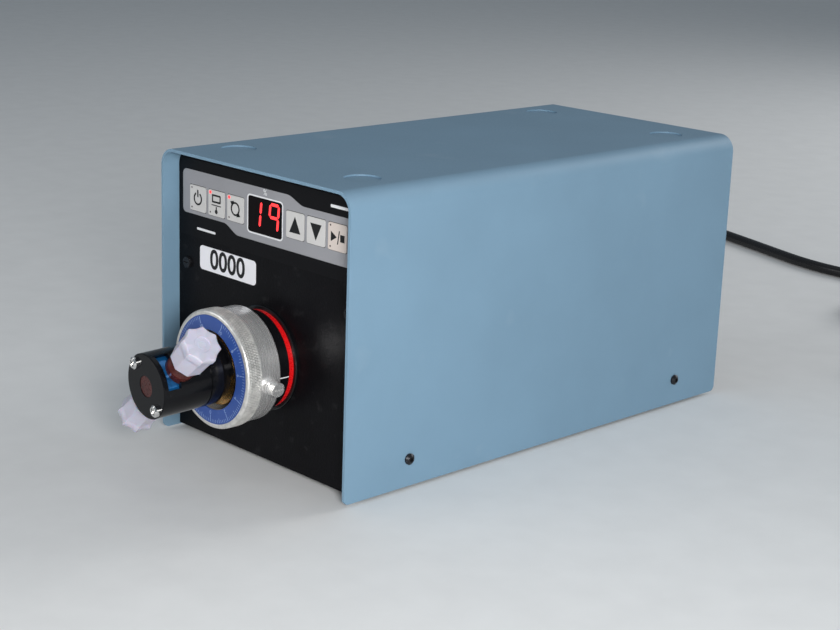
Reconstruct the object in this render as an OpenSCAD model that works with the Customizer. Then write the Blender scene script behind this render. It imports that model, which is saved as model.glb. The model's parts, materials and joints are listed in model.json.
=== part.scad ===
// Bench-top metering pump with a tilting rotary-piston head, in millimetres.
// +Z is up, the pump head faces -Y, and the origin is under the middle of the body, on the bench.

/* [Housing] */
// Width of the painted cover
cover_w = 142; // [138:1:150]
// Depth of the painted cover, front edge to back edge
cover_d = 282; // [270:1:300]
// Height of the cover's top above the bench
cover_top = 148.5; // [146:0.5:155]
// Gap between the cover's lower edge and the bench
cover_gap = 1.5; // [1:0.1:2]
// Outer radius of the cover's two top bends
bend_r = 9; // [8:0.5:12]
// How far the front and rear panels sit inside the cover's ends
panel_recess = 9.5; // [9:0.5:10]

/* [Keypad] */
// Side of a square key
key_side = 12.8; // [11:0.1:13.2]
// Distance from one key's middle to the next
key_pitch = 15; // [14.6:0.1:15.5]
// Height of the keys' middles above the bench
key_z = 124.2; // [122:0.1:126]
// How far a key goes in when pressed
key_travel = 0.3; // [0.1:0.05:0.3]

/* [Pump head] */
// Height of the drive axis above the bench
hub_z = 54.4; // [50:0.1:56]
// Angle of the port axis above the horizontal, seen from the front
port_angle = 40; // [30:1:60]
// Tilt of the head away from the drive axis, towards the lower port, which sets the stroke
head_tilt = 4; // [0:0.5:6]
// Radius of the knurled adjusting ring
ring_r = 29; // [28.5:0.1:30]
// Radius of the pump head's body
head_r = 15.7; // [15.4:0.1:16]
// How far the head's end plate stands ahead of the cover's front edge
head_reach = 58.4; // [58:0.1:60]
// Radius of the piston
piston_r = 3.175; // [2.5:0.005:3.5]

/* [Mains lead] */
// Outside diameter of the lead
cord_d = 7.6; // [7:0.1:8]

/* [Hidden] */
$fn = 64;

// Small amount that a cut runs past a face
cut = 1;
// Sheet metal thickness, cover and chassis
sheet = 1.5;
// Gap between the chassis and the inside of the cover
fit_gap = 0.5;

// Lengthways places: y = 0 in the modules is the cover's front edge
screw_head_h = 2;
face_y = -(cover_d - head_reach - screw_head_h) / 2;
front_y = panel_recess;
rear_y = cover_d - panel_recess - sheet;

// Chassis
floor_z = 2.5;
inner_w = cover_w - 2 * sheet;
chassis_w = inner_w - 2 * fit_gap;
inner_top = cover_top - sheet;
flange_h = 25;
side_screw_z = 15.3;
side_screw_y = [41, 244];
foot_x = 46;
foot_y = [29, 253];
dimple_x = foot_x;
dimple_y = foot_y;
dimple_r = 9;
dimple_depth = 0.8;

// Keypad
overlay_t = 0.5;
overlay_bottom = 104.3;
overlay_top = 143.6;
overlay_w = 135;
key_stand = 0.3;
key_gap = 0.2;
// A key stays clear of the panel behind it at the end of its travel
key_t = overlay_t + key_stand - key_travel - 0.1;
display_w = 25.6;
display_h = 17.6;
label_size = [44.3, 12.2];
label_at = [-29.2, 94.9];
panel_screw_at = [61.5, 90];

// Drive
pilot_r = 11.8;
motor_r = 30;
motor_front = front_y + sheet;
bell_l = 14;
can_l = 58;
shaft_r = 4;
bearing_r = 11;
bearing_w = 7;
motor_screw_pcd_r = 16;

// Pump head along the drive axis, front faces have the lower y
flange_y = front_y - 1.6;
red_ring_y = flange_y - 3;
hub_r = 24.6;
collar_back = -3;
collar_front = -14;
collar_r = 28;
collar_bore = 20;
journal_r = 23.9;
journal_front = -20;
ring_front = -23;
ring_opening = 19.4;
pivot_y = -11;
port_y = -46.5;
slot_back = -49;
neck_front = -25.5;
neck_r = 13.8;
flange_front = -20.5;
flange_back = -17.5;
flange_r = 17.2;
lobe_half = 9;
ear_in = 13.2;
ear_out = 16.2;
plate_t = 2.5;
plate_back = -head_reach + plate_t;
arm_half = 9;
end_screw_r = 12.6;
liner_r = 5.1;
case_r = 10;
nipple_r = 6.8;
nipple_pitch = 1.5;
cap_start = 22.7;
cap_end = 39.9;
cap_r = 9.4;
thumb_angle = -7;
thumb_y = -9.5;

// Rear panel
cord_exit = [-20, 26];
fuse_at = [15, 26];
socket_at = [42, 46];
boot_tip = 305;

// The lead's route from the boot to the coil, y from the cover's front edge
cord_z = 4;
cord_route = [
    [-20, 305, 26], [-20, 317, 25.5], [-20, 329, 22.5], [-21, 341, 17.5], [-23, 353, 11.5],
    [-26, 366, 6.5], [-31, 381, 4.2], [-38, 398, 4], [-48, 417, 4], [-62, 437, 4],
    [-79, 455, 4], [-98, 471, 4], [-118, 486, 4], [-139, 501, 4], [-160, 516, 4],
    [-181, 532, 4], [-201, 549, 4], [-218, 566, 4], [-227, 580, 4], [-228, 597, 4],
    [-220.5, 612, 4], [-206, 621.5, 4], [-187, 621.5, 4], [-163, 614.5, 4],
    [-142, 608, 4], [-120, 601, 4], [-97, 593.5, 4], [-76, 587.5, 4], [-56, 584, 4],
    [-36, 583.2, 4], [-14, 583.2, 4], [10, 583.2, 4], [35, 583.2, 4], [60, 583.2, 4]
];
coil_at = [66, 534.6];
coil_mid_r = 44.8;
coil_turns_wide = 2;
coil_layers = 2;
tail_route = [
    [114.6, 525, 11.6], [114.6, 505, 11.6], [114.6, 485, 11], [114.6, 470, 10.5],
    [114.6, 455, 10.5]
];
plug_y = 455;
plug_z = 10.5;

// ---------- shared shapes ----------

// Puts a sub-part drawn from the cover's front edge into the part's own frame
module from_face() {
    translate([0, face_y, 0]) children();
}

// Puts a sub-part drawn about the drive axis into place
module on_hub() {
    translate([0, face_y, hub_z]) children();
}

// As on_hub, turned so that +X runs along the upper port and +Z along the tilt pivot
module on_pivot() {
    on_hub() rotate([0, -port_angle, 0]) children();
}

// As on_pivot, tilted with the head
module on_head() {
    on_pivot() translate([0, pivot_y, 0]) rotate([0, 0, -head_tilt])
        translate([0, -pivot_y, 0]) children();
}

// Round bar along Y between two stations
module bar_y(r, y0, y1) {
    translate([0, y0, 0]) rotate([-90, 0, 0]) cylinder(r = r, h = y1 - y0);
}

// Ring along Y between two stations
module ring_y(r_in, r_out, y0, y1) {
    difference() {
        bar_y(r_out, y0, y1);
        bar_y(r_in, y0 - cut, y1 + cut);
    }
}

// Turned part about the Y axis from a list of [radius, y] points
module turned_y(points) {
    rotate([-90, 0, 0]) rotate_extrude() polygon(points);
}

// Round bar along X between two stations
module bar_x(r, x0, x1) {
    translate([x0, 0, 0]) rotate([0, 90, 0]) cylinder(r = r, h = x1 - x0);
}

// Rectangle with round corners, centred
module round_rect(w, h, r) {
    square([w - 2 * r, h], center = true);
    square([w, h - 2 * r], center = true);
    for (sx = [-1, 1], sy = [-1, 1])
        translate([sx * (w / 2 - r), sy * (h / 2 - r)]) circle(r = r);
}

// Flat plate facing -Y, its outline drawn in x and z
module plate_y(y0, y1) {
    translate([0, y1, 0]) rotate([90, 0, 0]) linear_extrude(y1 - y0) children();
}

// Outline with a flat foot and two round top corners
module arch(w, z0, z1, r) {
    translate([-w / 2, z0]) square([w, z1 - z0 - r]);
    translate([-w / 2 + r, z0]) square([w - 2 * r, z1 - z0]);
    for (s = [-1, 1])
        translate([s * (w / 2 - r), z1 - r]) circle(r = r);
}

// Swept round tube: one ring of corners at each point of the path
function unit(v) = v / norm(v);
function heading(path, i) =
    unit(path[min(i + 1, len(path) - 1)] - path[max(i - 1, 0)]);
function ring_at(p, d, r, n) =
    let (side = unit(cross(d, [0, 0, 1])), up = cross(side, d))
    [for (k = [0:n - 1]) p + r * (cos(360 * k / n) * side + sin(360 * k / n) * up)];

module swept_tube(path, r, n = 10) {
    last = len(path) - 1;
    rings = [for (i = [0:last]) ring_at(path[i], heading(path, i), r, n)];
    points = [for (ring = rings) for (q = ring) q];
    sides = [for (i = [0:last - 1]) for (k = [0:n - 1])
        [i * n + k, i * n + (k + 1) % n, (i + 1) * n + (k + 1) % n, (i + 1) * n + k]];
    ends = [[for (k = [0:n - 1]) n - 1 - k], [for (k = [0:n - 1]) last * n + k]];
    polyhedron(points, concat(sides, ends));
}

// ---------- housing ----------

module cover() {
    side_h = cover_top - cover_gap;
    corner_r = 3;
    color("#88a7bf") from_face() difference() {
        union() {
            intersection() {
                plate_y(0, cover_d) difference() {
                    arch(cover_w, cover_gap, cover_top, bend_r);
                    arch(inner_w, cover_gap - cut, inner_top, bend_r - sheet);
                }
                translate([-cover_w / 2 - cut, cover_d / 2, cover_gap])
                    rotate([0, 90, 0]) rotate([0, 0, 90]) linear_extrude(cover_w + 2 * cut) {
                        translate([-cover_d / 2, corner_r]) square([cover_d, side_h]);
                        translate([-cover_d / 2 + corner_r, 0])
                            square([cover_d - 2 * corner_r, side_h]);
                        for (s = [-1, 1])
                            translate([s * (cover_d / 2 - corner_r), corner_r])
                                circle(r = corner_r);
                    }
            }
            for (sx = [-1, 1], y = dimple_y)
                translate([sx * dimple_x, y, inner_top - dimple_depth])
                    cylinder(r = dimple_r + 1.2, h = dimple_depth + sheet / 2);
        }
        for (sx = [-1, 1], y = dimple_y)
            translate([sx * dimple_x, y, cover_top - dimple_depth])
                cylinder(r = dimple_r, h = dimple_depth + cut);
        for (y = side_screw_y)
            translate([0, y, side_screw_z]) bar_x(1.7, -cover_w, cover_w);
    }
}

module base_pan() {
    pan_front = front_y + sheet;
    lip_w = 120;
    lip_h = 12;
    color("#1c1c1e") from_face() difference() {
        union() {
            translate([-chassis_w / 2, pan_front, floor_z])
                cube([chassis_w, rear_y - pan_front, sheet]);
            for (sx = [0, 1])
                translate([sx * (chassis_w - sheet) - chassis_w / 2, pan_front + 3, floor_z])
                    cube([sheet, rear_y - pan_front - 6, flange_h]);
            for (y = [pan_front, rear_y - sheet])
                translate([-lip_w / 2, y, floor_z]) cube([lip_w, sheet, lip_h]);
        }
        for (y = side_screw_y)
            translate([0, y, side_screw_z]) bar_x(1.5, -cover_w, cover_w);
        for (sx = [-1, 1], y = foot_y)
            translate([sx * foot_x, y, 0]) cylinder(r = 1.5, h = 2 * floor_z + sheet);
    }
}

module front_panel() {
    color("#161618") from_face() difference() {
        plate_y(front_y, front_y + sheet)
            arch(chassis_w, floor_z, inner_top - fit_gap, bend_r - sheet - fit_gap);
        translate([-display_w / 2 - 0.6, 0, key_z - display_h / 2 - 0.7])
            cube([display_w + 1.2, 20, display_h + 1.4]);
        translate([0, 0, hub_z]) {
            bar_y(pilot_r + 0.2, 0, 20);
            for (a = [45:90:315])
                rotate([0, a, 0]) translate([motor_screw_pcd_r, 0, 0]) bar_y(2.2, 0, 20);
        }
        for (sx = [-1, 1])
            translate([sx * panel_screw_at[0], 0, panel_screw_at[1]]) bar_y(1.6, 0, 20);
    }
}

module rear_panel() {
    vent = [4, 40];
    vent_z = 84;
    color("#161618") from_face() difference() {
        plate_y(rear_y, rear_y + sheet)
            arch(chassis_w, floor_z, inner_top - fit_gap, bend_r - sheet - fit_gap);
        translate([cord_exit[0], 0, cord_exit[1]]) bar_y(6.3, rear_y - cut, cover_d);
        translate([fuse_at[0], 0, fuse_at[1]]) bar_y(6.2, rear_y - cut, cover_d);
        translate([socket_at[0] - 9.5, rear_y - cut, socket_at[1] - 5.5])
            cube([19, 10, 11]);
        for (x = [-50:20:50])
            translate([x - vent[0] / 2, rear_y - cut, vent_z]) cube([vent[0], 10, vent[1]]);
    }
}

module cover_screws() {
    head_r = 2.8;
    head_h = 1.8;
    shank_l = 5;
    color("#202022") from_face()
        for (sx = [-1, 1], y = side_screw_y)
            translate([sx * cover_w / 2, y, side_screw_z]) rotate([0, sx * 90, 0])
                difference() {
                    union() {
                        cylinder(r = head_r, h = head_h / 2);
                        translate([0, 0, head_h / 2])
                            cylinder(r1 = head_r, r2 = head_r * 0.6, h = head_h / 2);
                        translate([0, 0, -shank_l]) cylinder(r = 1.45, h = shank_l);
                    }
                    translate([0, 0, head_h * 0.4]) cylinder(r = 1.1, h = head_h, $fn = 6);
                }
}

module feet() {
    color("#1a1a1a") from_face()
        for (sx = [-1, 1], y = foot_y)
            translate([sx * foot_x, y, 0]) difference() {
                cylinder(r = 8, h = floor_z);
                translate([0, 0, -cut]) cylinder(r = 4.2, h = 1.3 + cut);
                translate([0, 0, -cut]) cylinder(r = 1.7, h = floor_z + 2 * cut);
            }
}

module foot_screws() {
    head_z = 0.3;
    color("#8a8c90") from_face()
        for (sx = [-1, 1], y = foot_y)
            translate([sx * foot_x, y, head_z]) difference() {
                union() {
                    cylinder(r = 3.2, h = 1);
                    cylinder(r = 1.45, h = 8);
                }
                translate([-2, -0.4, -cut]) cube([4, 0.8, cut + 0.5]);
            }
}

// ---------- keypad and electronics ----------

module keypad_overlay() {
    color("#8d8f94") from_face() difference() {
        plate_y(front_y - overlay_t, front_y)
            arch(overlay_w, overlay_bottom, overlay_top, 6);
        for (x = [-3.5, -2.5, -1.5, 1.5, 2.5, 3.5])
            translate([x * key_pitch, 0, key_z]) plate_y(0, 20)
                square(key_side + 2 * key_gap, center = true);
        translate([0, 0, key_z]) plate_y(0, 20)
            round_rect(display_w + 0.1, display_h + 0.1, 1.5);
    }
}

module display_window() {
    color("#3a0d10") from_face() translate([0, 0, key_z])
        plate_y(front_y - overlay_t, front_y) round_rect(display_w, display_h, 1.45);
}

module display_module() {
    block = [25, 8.4, 19];
    color("#2a2a2c") from_face()
        translate([-block[0] / 2, front_y + 0.1, key_z - block[2] / 2]) cube(block);
}

// One membrane key, slot counted in pitches from the middle of the keypad
module key(slot) {
    key_front = front_y - overlay_t - key_stand;
    from_face() translate([slot * key_pitch, 0, key_z])
        plate_y(key_front, key_front + key_t) round_rect(key_side, key_side, 1);
}

module key_power() { color("#c9c7c3") key(-3.5); }
module key_mode() { color("#c9c7c3") key(-2.5); }
module key_direction() { color("#c9c7c3") key(-1.5); }
module key_up() { color("#c9c7c3") key(1.5); }
module key_down() { color("#c9c7c3") key(2.5); }
module key_run() { color("#d6c8be") key(3.5); }

module asset_label() {
    color("#e8e8e6") from_face() translate([label_at[0], 0, label_at[1]])
        plate_y(front_y - 0.3, front_y) round_rect(label_size[0], label_size[1], 2);
}

module panel_screws() {
    color("#202022") from_face()
        for (sx = [-1, 1])
            translate([sx * panel_screw_at[0], 0, panel_screw_at[1]]) difference() {
                union() {
                    bar_y(2.8, front_y - 1.4, front_y);
                    bar_y(1.45, front_y, front_y + 6);
                }
                translate([-2, front_y - 2, -0.4]) cube([4, 1.2, 0.8]);
            }
}

board_y = front_y + sheet + 7.5;
board_z = [86, 144];

module control_board() {
    color("#1d5c33") from_face() difference() {
        translate([-65.5, board_y, board_z[0]]) cube([131, 1.6, board_z[1] - board_z[0]]);
        for (sx = [-1, 1], z = [panel_screw_at[1], 140])
            translate([sx * panel_screw_at[0], 0, z]) bar_y(1.6, 0, 30);
    }
}

module board_parts() {
    back = board_y + 1.6;
    color("#2b2b2f") from_face() {
        translate([-50, back, 118]) cube([14, 3.5, 17]);
        translate([-20, back, 122]) cube([36, 4, 10]);
        translate([34, back, 96]) cube([10, 9, 30]);
        for (x = [-45, -30, -12])
            translate([x, 0, 100]) bar_y(5, back, back + 13);
        for (x = [4, 12, 20])
            translate([x, back, 98]) cube([4, 10, 14]);
    }
}

module board_standoffs() {
    color("#b9bcc0") from_face()
        for (sx = [-1, 1], z = [panel_screw_at[1], 140])
            translate([sx * panel_screw_at[0], 0, z]) ring_y(1.5, 3, front_y + sheet, board_y);
}

transformer_at = [30, 225];

module transformer_core() {
    color("#4c4a48") from_face() translate([transformer_at[0], transformer_at[1], floor_z + sheet])
        difference() {
            translate([-28.5, -16, 0]) cube([57, 32, 48]);
            for (sx = [-1, 1])
                translate([sx * 14.25 - 4.75, -20, 9.5]) cube([9.5, 40, 29]);
        }
}

module transformer_winding() {
    color("#c79a3a") from_face() translate([transformer_at[0], transformer_at[1], floor_z + sheet])
        translate([0, 0, 9.8]) difference() {
            linear_extrude(28.4) round_rect(37.6, 50, 4);
            translate([-9.7, -16.2, -cut]) cube([19.4, 32.4, 30.4]);
        }
}

// ---------- rear panel fittings ----------

module fuse_holder() {
    back = rear_y + sheet;
    color("#1a1a1a") from_face() translate([fuse_at[0], 0, fuse_at[1]]) {
        bar_y(6, rear_y - 18, back);
        bar_y(8, back, back + 2);
    }
}

module fuse_cap() {
    cap_y = rear_y + sheet + 2.2;
    color("#262626") from_face() translate([fuse_at[0], 0, fuse_at[1]]) difference() {
        turned_y([[0, cap_y], [6.5, cap_y], [6.5, cap_y + 5], [5.7, cap_y + 5.8], [0, cap_y + 5.8]]);
        translate([-4, cap_y + 4.6, -0.6]) cube([8, 2, 1.2]);
    }
}

module remote_socket() {
    back = rear_y + sheet;
    color("#b4b6b8") from_face() translate([socket_at[0], 0, socket_at[1]]) {
        plate_y(back, back + 1) round_rect(31, 12.5, 1);
        difference() {
            plate_y(back + 1, back + 6.5) round_rect(17, 8.6, 2.5);
            plate_y(back + 2.5, back + 8) round_rect(15.8, 7.4, 2);
        }
        translate([-9.2, rear_y - 10, -5.2]) cube([18.4, back + 0.2 - rear_y + 10, 10.4]);
        for (sx = [-1, 1])
            translate([sx * 12.5, 0, 0]) bar_y(2.4, back + 1, back + 5.5, $fn = 6);
    }
}

module strain_relief() {
    back = rear_y + sheet;
    r = cord_d / 2;
    color("#17171a") from_face() translate([cord_exit[0], 0, cord_exit[1]])
        turned_y([
            [0, rear_y - 4], [6.2, rear_y - 4], [6.2, back], [9, back], [9, back + 3.5],
            [7, back + 4.5], [r + 0.8, boot_tip], [0, boot_tip]
        ]);
}

module power_cord() {
    color("#101012") from_face() {
        swept_tube(cord_route, cord_d / 2);
        swept_tube(tail_route, cord_d / 2);
    }
}

module cord_coil() {
    half_w = coil_turns_wide * cord_d / 2;
    height = cord_z + cord_d / 2 + (coil_layers - 1) * cord_d;
    color("#101012") from_face() translate([coil_at[0], coil_at[1], 0])
        rotate_extrude($fn = 48)
            translate([coil_mid_r, height / 2]) round_rect(2 * half_w, height, cord_d / 2);
}

module plug() {
    body_w = 25;
    body_l = 30;
    color("#141416") from_face() translate([tail_route[0][0], 0, plug_z]) {
        plate_y(plug_y - 12 - body_l, plug_y - 12) round_rect(body_w, 2 * plug_z, 5);
        turned_y([[0, plug_y - 12], [8, plug_y - 12], [cord_d / 2 + 0.8, plug_y], [0, plug_y]]);
    }
}

module plug_blades() {
    face = plug_y - 42;
    color("#c8b070") from_face() translate([tail_route[0][0], 0, plug_z]) {
        for (sx = [-1, 1])
            translate([sx * 6.35 - 0.75, face - 16, -1]) cube([1.5, 16, 6.3]);
        translate([0, 0, -5.5]) bar_y(2.4, face - 19, face);
    }
}

// ---------- motor ----------

module motor_front_bell() {
    seat = motor_front + 1.5;
    color("#2e2f33") from_face() translate([0, 0, hub_z]) difference() {
        union() {
            bar_y(motor_r, motor_front, motor_front + bell_l);
            bar_y(pilot_r, front_y, motor_front);
        }
        bar_y(shaft_r + 0.5, front_y - cut, motor_front + bell_l + cut);
        bar_y(bearing_r, seat, motor_front + bell_l + cut);
        bar_y(20, seat + bearing_w, motor_front + bell_l + cut);
        for (a = [45:90:315])
            rotate([0, a, 0]) translate([motor_screw_pcd_r, 0, 0])
                bar_y(2.05, motor_front - cut, motor_front + bell_l + cut);
    }
}

module motor_can() {
    y0 = motor_front + bell_l;
    color("#55585d") from_face() translate([0, 0, hub_z])
        ring_y(22, motor_r - 0.5, y0, y0 + can_l);
}

module motor_rear_bell() {
    y0 = motor_front + bell_l + can_l;
    color("#2e2f33") from_face() translate([0, 0, hub_z]) difference() {
        bar_y(motor_r, y0, y0 + bell_l);
        bar_y(20, y0 - cut, y0 + 5.5);
        bar_y(bearing_r, y0 - cut, y0 + 5.5 + bearing_w);
        bar_y(shaft_r + 0.5, y0 - cut, y0 + bell_l + cut);
    }
}

module motor_rotor() {
    y0 = motor_front + bell_l;
    color("#8f7a4a") from_face() translate([0, 0, hub_z])
        ring_y(shaft_r, 21.3, y0 + 6, y0 + can_l - 6);
}

module motor_shaft() {
    color("#c9ccd0") from_face() translate([0, 0, hub_z])
        bar_y(shaft_r, -4, motor_front + 2 * bell_l + can_l + 3);
}

module motor_bearings() {
    front_seat = motor_front + 1.5;
    rear_seat = motor_front + bell_l + can_l + 5.5;
    color("#d0d3d6") from_face() translate([0, 0, hub_z])
        for (y = [front_seat, rear_seat])
            ring_y(shaft_r + 0.03, bearing_r, y, y + bearing_w);
}

module motor_screws() {
    web_front = 5;
    color("#3a3b3f") from_face() translate([0, 0, hub_z])
        for (a = [45:90:315])
            rotate([0, a, 0]) translate([motor_screw_pcd_r, 0, 0]) difference() {
                union() {
                    bar_y(3.4, web_front - 3, web_front);
                    bar_y(2, web_front, motor_front + 9);
                }
                translate([0, web_front - 4, 0]) rotate([-90, 0, 0])
                    cylinder(r = 1.7, h = 2.5, $fn = 6);
            }
}

// ---------- hub, collar and adjusting ring ----------

module hub_adapter() {
    web_front = 5;
    spigot_front = -6.7;
    seat_r = 23.2;
    color("#141416") on_hub() difference() {
        turned_y([
            [pilot_r, front_y], [26, front_y], [26, flange_y + 0.4], [25.6, flange_y],
            [seat_r, flange_y], [seat_r, red_ring_y], [hub_r, red_ring_y],
            [hub_r, collar_back], [21.9, collar_back], [21.9, spigot_front],
            [collar_bore, spigot_front], [collar_bore, web_front], [pilot_r, web_front]
        ]);
        for (a = [45:90:315])
            rotate([0, a, 0]) translate([motor_screw_pcd_r, 0, 0])
                bar_y(2.2, web_front - cut, front_y + cut);
    }
}

// Elastic band stretched into the hub's groove
module red_ring() {
    color("#dc1616") on_hub() ring_y(23.25, hub_r - 0.4, red_ring_y + 0.05, flange_y);
}

module base_collar() {
    socket_r = 21.98;
    color("#c4c6c9") on_hub() difference() {
        union() {
            turned_y([
                [collar_bore, -7], [socket_r, -7], [socket_r, collar_back],
                [collar_r - 0.5, collar_back], [collar_r, collar_back - 0.5],
                [collar_r, collar_front], [journal_r, collar_front],
                [journal_r, journal_front], [collar_bore, journal_front]
            ]);
            rotate([0, -thumb_angle, 0]) translate([0, thumb_y, 0]) bar_x(4.2, 24, 30);
        }
        rotate([0, -thumb_angle, 0]) translate([0, thumb_y, 0]) bar_x(2.05, 18, 32);
        rotate([0, -port_angle, 0]) translate([0, pivot_y, 0])
            for (s = [0, 180]) rotate([s, 0, 0]) cylinder(r = 2, h = 26);
    }
}

module lock_thumbscrew() {
    color("#b9bbbe") on_hub() rotate([0, -thumb_angle, 0]) translate([0, thumb_y, 0])
        difference() {
            union() {
                bar_x(2, 22.3, 31);
                bar_x(3.5, 30.3, 34.5);
            }
            translate([34, -4, -0.4]) cube([2, 8, 0.8]);
        }
}

module adjusting_ring() {
    back = collar_front - 0.3;
    land_r = 26.6;
    color("#b7b9bd") on_hub() turned_y([
        [journal_r + 0.06, back], [ring_r - 0.6, back], [ring_r, back - 0.6],
        [ring_r, ring_front + 0.8], [ring_r - 0.8, ring_front], [land_r, ring_front],
        [land_r, ring_front + 0.6], [ring_opening, ring_front + 0.6],
        [ring_opening, journal_front - 0.4], [journal_r + 0.06, journal_front - 0.4]
    ]);
}

module scale_ring() {
    color("#3250aa") on_hub() ring_y(ring_opening + 0.1, 26.5, ring_front - 0.1, ring_front + 0.6);
}

module swivel_yoke() {
    ear_w = 8;
    ear_back = -6.5;
    sleeve_r = 8.45;
    bore_r = 6.5;
    color("#c08a3c") on_head() difference() {
        union() {
            bar_y(sleeve_r, neck_front, flange_front + cut);
            bar_y(flange_r, flange_front, flange_back);
            for (s = [-1, 1])
                intersection() {
                    translate([-ear_w / 2, flange_back - cut, s * (ear_in + 5) - 5])
                        cube([ear_w, ear_back - flange_back + cut, 10]);
                    bar_y(ear_out, flange_back - cut, ear_back);
                }
        }
        bar_y(bore_r, neck_front - cut, ear_back + cut);
        translate([0, pivot_y, -20]) cylinder(r = 2.05, h = 40);
    }
}

module pivot_pins() {
    color("#d2d4d6") on_pivot() translate([0, pivot_y, 0])
        for (s = [0, 180]) rotate([s, 0, 0]) translate([0, 0, 13.2]) cylinder(r = 2, h = 12.6);
}

// ---------- pump head ----------

module head_body() {
    case_seat = -40;
    gland_back = -31;
    groove = [-32.6, -31.9];
    color("#121214") on_head() difference() {
        union() {
            bar_y(head_r, slot_back, neck_front);
            bar_y(neck_r, neck_front - cut, flange_front);
            intersection() {
                bar_y(flange_r - 0.2, flange_front - 1, flange_front);
                translate([-20, flange_front - 2, -lobe_half]) cube([40, 3, 2 * lobe_half]);
            }
            intersection() {
                bar_y(head_r, plate_back, slot_back + cut);
                union() for (s = [-1, 1])
                    translate([-20, plate_back, s * (arm_half + 10) - 10]) cube([40, 10, 20]);
            }
        }
        bar_y(case_r + 0.05, slot_back - cut, case_seat);
        bar_y(11.05, case_seat - cut, gland_back);
        bar_y(8.5, gland_back - cut, flange_front + cut);
        ring_y(head_r - 0.5, head_r + cut, groove[0], groove[1]);
        translate([0, port_y, 0]) bar_x(nipple_r + 0.05, -20, 20);
        for (s = [-1, 1])
            translate([0, 0, s * end_screw_r]) bar_y(1.3, plate_back - cut, port_y + 4);
    }
}

module end_plate() {
    color("#121214") on_head() difference() {
        turned_y([
            [liner_r + 0.1, plate_back], [liner_r + 0.1, -head_reach],
            [head_r - 0.4, -head_reach], [head_r, -head_reach + 0.4], [head_r, plate_back]
        ]);
        for (s = [-1, 1])
            translate([0, 0, s * end_screw_r]) bar_y(1.4, -head_reach - cut, plate_back + cut);
    }
}

module end_screws() {
    head_r1 = 2.9;
    top = -head_reach - screw_head_h;
    color("#cfd2d5") on_head()
        for (s = [-1, 1])
            translate([0, 0, s * end_screw_r]) difference() {
                union() {
                    turned_y([[0, top], [head_r1 * 0.75, top], [head_r1, top + 0.7],
                              [head_r1, -head_reach], [0, -head_reach]]);
                    bar_y(1.25, -head_reach, port_y + 3.5);
                }
                translate([-1.7, top - cut, -0.35]) cube([3.4, 1 + cut, 0.7]);
                translate([-0.35, top - cut, -1.7]) cube([0.7, 1 + cut, 3.4]);
            }
}

module cylinder_case() {
    color("#2f6fae") on_head() difference() {
        union() {
            intersection() {
                bar_y(13.6, plate_back + 0.1, slot_back);
                translate([-20, plate_back, 0.2 - arm_half]) cube([40, 20, 2 * arm_half - 0.4]);
            }
            bar_y(case_r, slot_back - cut, -40.2);
        }
        bar_y(liner_r + 0.05, plate_back - cut, -39);
        for (s = [0, 180])
            rotate([0, s, 0]) translate([0, port_y, 0]) bar_x(nipple_r + 0.1, 8, 20);
        translate([0, port_y, 0]) bar_x(1.6, -12, 12);
    }
}

module cylinder_liner() {
    color("#64322a") on_head() difference() {
        bar_y(liner_r, -head_reach + 0.3, -40.2);
        bar_y(piston_r + 0.03, plate_back, -39);
        translate([0, port_y, 0]) bar_x(1.6, -12, 12);
    }
}

module gland_nut() {
    color("#9a9da1") on_head() ring_y(piston_r + 0.15, 11, -38, -31.5);
}

module piston_seals() {
    color("#eeeeea") on_head() ring_y(piston_r + 0.06, 8, -40.1, -38.1);
}

module piston() {
    color("#f0efe9") on_head() difference() {
        bar_y(piston_r, -54, -8.5);
        translate([1.2, -54 - cut, -5]) cube([5, 12 + cut, 10]);
    }
}

// ---------- drive spindle ----------

bearing_at = 7.6;
ball_r = 3.6;

module drive_pin() {
    color("#b0b3b7") on_head() translate([0, pivot_y, 2.9]) cylinder(r = 0.9, h = 6.6);
}

module spherical_bearing() {
    color("#b8863a") on_pivot() translate([0, pivot_y, bearing_at]) difference() {
        intersection() {
            sphere(r = ball_r);
            translate([0, 0, -2]) cylinder(r = ball_r, h = 4);
        }
        translate([0, 0, -5]) cylinder(r = 2.8, h = 10);
    }
}

module drive_spindle() {
    color("#a9acb0") on_pivot() difference() {
        turned_y([
            [0, -7.5], [5.2, -7.5], [5.2, -14.5], [12, -14.5], [12.4, -14.1],
            [12.4, -3], [9, -3], [9, 4.4], [shaft_r, 4.4], [shaft_r, -4], [0, -4]
        ]);
        translate([0, pivot_y, 4]) cylinder(r = ball_r + 0.02, h = 10);
    }
}

// ---------- ports ----------

// Threaded nipple along +X, drawn from the head's axis
module nipple() {
    root_r = nipple_r - 0.6;
    thread_start = head_r + 0.2;
    turns = floor((cap_start + 4 - thread_start) / nipple_pitch);
    difference() {
        union() {
            bar_x(nipple_r, case_r + 0.3, thread_start);
            bar_x(root_r, thread_start - cut, cap_start + 5);
            for (i = [0:turns - 1])
                translate([thread_start + i * nipple_pitch, 0, 0]) rotate([0, 90, 0]) {
                    cylinder(r1 = root_r, r2 = nipple_r, h = nipple_pitch / 2);
                    translate([0, 0, nipple_pitch / 2])
                        cylinder(r1 = nipple_r, r2 = root_r, h = nipple_pitch / 2);
                }
        }
        bar_x(1.6, 5, cap_start + 10);
    }
}

module port_nipples() {
    color("#6e3a30") on_head() translate([0, port_y, 0])
        for (s = [0, 180]) rotate([0, s, 0]) nipple();
}

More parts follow.
